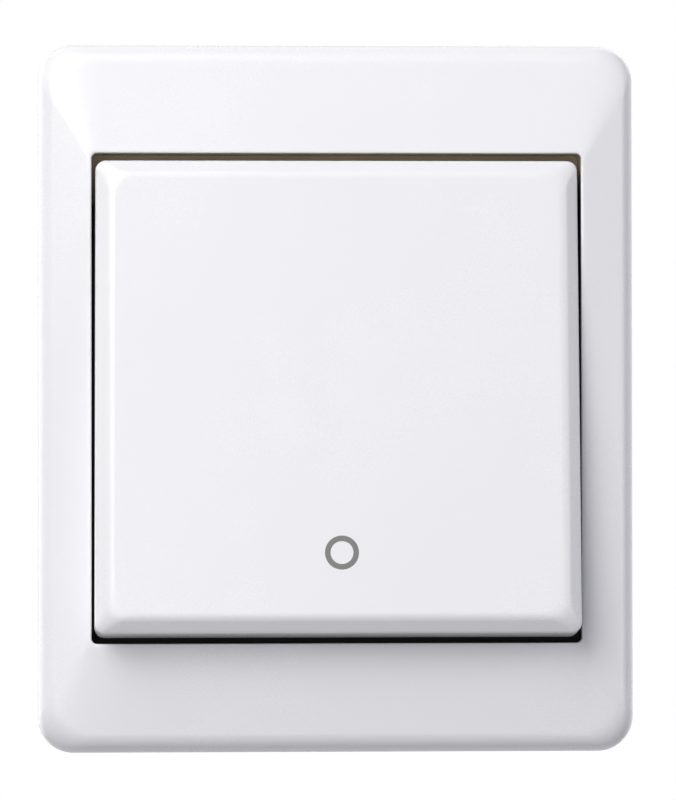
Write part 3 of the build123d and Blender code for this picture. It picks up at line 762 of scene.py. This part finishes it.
class OBJECT_OT_switch_springs(bpy.types.Operator):
    """Wind the plunger springs at their length at rest, riding with the rocker"""
    bl_idname = "light_switch.springs"
    bl_label = "Plunger springs"

    def execute(self, context):
        from_cap = rocker_matrix()
        into_cap = from_cap.inverted()
        finish = plated_metal("coil_wire", [0.60, 0.60, 0.61], [0.50, 0.50, 0.51], 0.28)
        for side in ("left", "right"):
            node = frame["nodes"]["plunger_spring_" + side]
            points = [into_cap @ node.matrix_world @ vertex.co for vertex in node.data.vertices]
            low = Vector([min(point[axis] for point in points) for axis in range(3)])
            high = Vector([max(point[axis] for point in points) for axis in range(3)])
            mesh = coil_mesh(settings("spring"), low, high, "plunger_coil_" + side)
            mesh.transform(from_cap)
            piece = make_piece("plunger_coil_" + side, mesh, finish, "rocker")
            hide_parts("plunger_spring_" + side)
            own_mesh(piece)
        return {"FINISHED"}


def matte_plastic(name, colour, roughness=0.45):
    """Moulded technical plastic with a fine spark-eroded grain."""
    shader = Shader(name, IOR=1.5)
    grain = shader.noise(2600.0, 3.0)
    flow = shader.noise(60.0, 2.0)
    shader.feed("Base Color", shader.mix(flow, rgba(colour, 0.95), rgba(colour, 1.05)))
    shader.feed("Roughness", roughness + 0.12 * grain)
    shader.relief(grain, 0.01 * MM)
    return shader.material


def plated_metal(name, colour, tint, roughness=0.32):
    """Plated or stamped metal with fine drawing lines and a faint clouded tint."""
    shader = Shader(name, Metallic=1.0)
    cloud = shader.noise(90.0, 4.0)
    lines_per_metre = (220.0, 2600.0, 3200.0)
    stretch = shader.add(
        "ShaderNodeVectorMath", {"operation": "MULTIPLY"}, {0: shader.place(), 1: lines_per_metre})
    lines = shader.noise(1.0, 2.0, stretch)
    shader.feed("Base Color", shader.mix(cloud, rgba(colour), rgba(tint)))
    shader.feed("Roughness", roughness + 0.16 * lines)
    shader.relief(lines, 0.002 * MM)
    return shader.material


def sheet_zinc(name, colour, tint, inner, front):
    """Passivated zinc, dull. Its front gets painted shade below the gap round the rocker, turning to painted light
    towards the top.
    """
    finish = settings("finish")
    shader = Shader(name, Metallic=0.35)
    cloud = shader.noise(90.0, 4.0)
    # Painted shade on the plate's front below the gap, with a warm painted light below its upper part
    x = abs(shader.along("X"))
    z = abs(shader.along("Z"))
    below_gap = (x.math("MAXIMUM", x, z) > inner) * (shader.along("Y") < front)
    upper = shader.rise(shader.along("Z"), inner * UPPER_START, inner)
    shade = shader.mix(upper, rgba(finish.painted_gap_shade), rgba(finish.painted_gap_light))
    shader.feed("Base Color", shader.mix(below_gap, shader.mix(cloud, rgba(colour), rgba(tint)), shade))
    shader.feed("Roughness", 0.45 + 0.16 * cloud)
    shader.relief(cloud, 0.004 * MM)
    return shader.material


class OBJECT_OT_switch_insert(bpy.types.Operator):
    """Give the insert's pieces their plastics and metals"""
    bl_idname = "light_switch.insert"
    bl_label = "Insert finishes"

    def execute(self, context):
        housing = settings("finish").housing
        # The plate's painted shade begins this far from the middle and lies only on what stands in front of this
        # level
        gap_inner = 32.8 * MM
        plate_front = -1.1 * MM
        finishes = {
            "housing_plastic": matte_plastic("housing_thermoset", housing),
            "cover_plastic": matte_plastic("cover_thermoset", [0.62, 0.62, 0.60]),
            "cradle_plastic": matte_plastic("cradle_nylon", [0.74, 0.73, 0.68], 0.38),
            "plunger_plastic": matte_plastic("plunger_acetal", [0.70, 0.67, 0.58], 0.3),
            "zinc_plate": sheet_zinc(
                "zinc_sheet", [0.60, 0.60, 0.58], [0.68, 0.66, 0.58], gap_inner, plate_front),
            "zinc_screw": plated_metal("zinc_screws", [0.70, 0.71, 0.73], [0.62, 0.62, 0.62], 0.26),
            "brass_strip": plated_metal("stamped_brass", [0.80, 0.62, 0.30], [0.72, 0.54, 0.25]),
            "brass_block": plated_metal("machined_brass", [0.82, 0.64, 0.32], [0.74, 0.57, 0.28], 0.24),
            "copper_arm": plated_metal("copper_sheet", [0.83, 0.50, 0.34], [0.72, 0.42, 0.28]),
            "silver_contact": plated_metal("silver_rivets", [0.88, 0.87, 0.84], [0.80, 0.79, 0.75], 0.22),
        }
        for entry in frame["record"]["subparts"]:
            mesh = frame["nodes"][entry["node"]].data
            if entry["material_slot"] in finishes:
                mesh.materials.clear()
                mesh.materials.append(finishes[entry["material_slot"]])
        return {"FINISHED"}


def camera_axes(stage):
    """Right, up and back directions of the photograph's camera."""
    back = Vector((
        math.sin(stage.yaw) * math.cos(stage.pitch), -math.cos(stage.yaw) * math.cos(stage.pitch),
        math.sin(stage.pitch)))
    level = (-back).cross(Vector((0, 0, 1))).normalized()
    rise = level.cross(-back)
    right = math.cos(stage.roll) * level + math.sin(stage.roll) * rise
    up = -math.sin(stage.roll) * level + math.cos(stage.roll) * rise
    return right, up, back


# Direction from the switch, width and height in metres, and colour of each soft light
SOFTBOXES = {
    "key": ((-0.45, -0.78, 0.46), 0.6, 0.6, (1.0, 0.99, 0.97)),
    "front": ((-0.30, -0.95, -0.12), 0.7, 0.6, (0.94, 0.94, 1.0)),
    "high": ((-0.30, -0.45, 0.84), 0.6, 0.5, (1.0, 1.0, 1.0)),
    "side": ((0.88, -0.47, 0.12), 0.4, 0.9, (0.93, 0.93, 1.0)),
    "left_rim": ((-0.77, 0.64, 0.0), 1.0, 1.2, (1.0, 1.0, 1.0)),
    "right_rim": ((0.77, 0.64, 0.0), 1.0, 1.2, (0.95, 0.95, 1.0)),
    "top_rim": ((0.0, 0.64, 0.77), 1.2, 1.0, (1.0, 1.0, 1.0)),
    "bottom_rim": ((0.0, 0.64, -0.77), 1.2, 1.0, (0.94, 0.94, 1.0)),
}


def add_softbox(name, place, aim, width, height, power, colour):
    """A rectangular area light that faces a point."""
    light = bpy.data.lights.new(name, "AREA")
    light.shape = "RECTANGLE"
    light.size = width
    light.size_y = height
    light.energy = power
    light.color = colour
    lamp = bpy.data.objects.new(name, light)
    lamp.location = place
    lamp.rotation_euler = (aim - place).to_track_quat("-Z", "Y").to_euler()
    bpy.context.scene.collection.objects.link(lamp)


class OBJECT_OT_switch_stage(bpy.types.Operator):
    """Set up the camera, the soft light, the floor and the white background"""
    bl_idname = "light_switch.stage"
    bl_label = "Photo stage"

    def execute(self, context):
        stage = settings("stage")
        picture_width = 676
        picture_height = 800
        face_height = 5 * MM
        target = Vector((0, -face_height, 0))
        right, up, back = camera_axes(stage)
        camera = bpy.data.cameras.new("photo_camera")
        camera.sensor_fit = "HORIZONTAL"
        camera.lens = stage.focal_pixels * camera.sensor_width / picture_width
        camera.shift_x = (picture_width / 2 - stage.centre_x) / picture_width
        camera.shift_y = (stage.centre_y - picture_height / 2) / picture_width
        viewer = bpy.data.objects.new("photo_camera", camera)
        turn = Matrix((right, up, back)).transposed().to_4x4()
        viewer.matrix_world = Matrix.Translation(target + back * stage.distance) @ turn
        context.scene.collection.objects.link(viewer)
        context.scene.camera = viewer

        for name, (direction, width, height, colour) in SOFTBOXES.items():
            place = target + Vector(direction).normalized()
            power = getattr(stage, name + "_power")
            add_softbox(name + "_softbox", place, target, width, height, power, colour)
        rear_place = Vector((0.5, 0.9, 0.6))
        housing = Vector((0, 0.01, 0))
        white = (1.0, 1.0, 1.0)
        add_softbox("rear_softbox", rear_place, housing, 0.6, 0.6, stage.rear_power, white)
        self.lay_floor(context)
        self.paint_world(context, stage)
        context.scene.view_settings.view_transform = "Standard"
        return {"FINISHED"}

    def lay_floor(self, context):
        """A square of white paper, far below the switch."""
        mesh = bpy.data.meshes.new("studio_floor")
        reach = 1.6
        drop = -1.6
        mesh.from_pydata(
            [(-reach, -reach, drop), (reach, -reach, drop), (reach, reach, drop), (-reach, reach, drop)],
            [], [(0, 1, 2, 3)])
        floor = bpy.data.objects.new("studio_floor", mesh)
        context.scene.collection.objects.link(floor)
        paper = Shader("floor_paper", Roughness=0.9)
        white = (0.80, 0.80, 0.80)
        paper.feed("Base Color", paper.mix(paper.noise(14.0), rgba(white, 0.975), rgba(white, 1.025)))
        mesh.materials.append(paper.material)

    def paint_world(self, context, stage):
        """White where the camera and its first reflections look, dimmer as a source of light."""
        world = bpy.data.worlds.new("studio_world")
        context.scene.world = world
        room = NodeTree(world, "Background")
        room.surface.inputs["Color"].default_value = (1.0, 1.0, 1.0, 1.0)
        second_bounce = 1.5
        first = room.add("ShaderNodeLightPath", {}, {}, "Ray Depth") < second_bounce
        seen = room.add("ShaderNodeLightPath", {}, {}, "Is Camera Ray")
        for ray in ("Is Glossy Ray", "Is Transmission Ray"):
            once = room.add("ShaderNodeLightPath", {}, {}, ray) * first
            seen = seen.math("MAXIMUM", seen, once)
        strength = room.add("ShaderNodeMix", {"data_type": "FLOAT"}, {0: seen, 2: stage.ambient, 3: 1.0})
        room.feed("Strength", strength)


class VIEW3D_PT_light_switch(bpy.types.Panel):
    """Lists the pieces of the light switch, its stage and their settings"""
    bl_label = "Light Switch"
    bl_idname = "VIEW3D_PT_light_switch"
    bl_space_type = "VIEW_3D"
    bl_region_type = "UI"
    bl_category = "Light Switch"

    def draw(self, context):
        for operator in OPERATORS:
            self.layout.operator(operator.bl_idname)
        for group in GROUPS:
            values = settings(group)
            for name in values.__annotations__:
                self.layout.prop(values, name)


GROUPS = {
    "frame": FrameSettings,
    "rocker": RockerSettings,
    "spring": SpringSettings,
    "finish": FinishSettings,
    "stage": StageSettings,
}
OPERATORS = (
    OBJECT_OT_switch_frame, OBJECT_OT_switch_rocker, OBJECT_OT_switch_mark,
    OBJECT_OT_switch_springs, OBJECT_OT_switch_insert, OBJECT_OT_switch_stage)


def register():
    """Add the settings, the operators and the panel."""
    for name, group in GROUPS.items():
        bpy.utils.register_class(group)
        setattr(bpy.types.Scene, "light_switch_" + name, PointerProperty(type=group))
    for operator in OPERATORS:
        bpy.utils.register_class(operator)
    bpy.utils.register_class(VIEW3D_PT_light_switch)


def unregister():
    """Take them away in the opposite order."""
    bpy.utils.unregister_class(VIEW3D_PT_light_switch)
    for operator in reversed(OPERATORS):
        bpy.utils.unregister_class(operator)
    for name, group in reversed(GROUPS.items()):
        delattr(bpy.types.Scene, "light_switch_" + name)
        bpy.utils.unregister_class(group)


def main():
    """Build the switch and its stage."""
    register()
    bpy.ops.light_switch.stage()
    bpy.ops.light_switch.frame()
    bpy.ops.light_switch.rocker()
    bpy.ops.light_switch.mark()
    bpy.ops.light_switch.springs()
    bpy.ops.light_switch.insert()


if __name__ == "__main__":
    main()
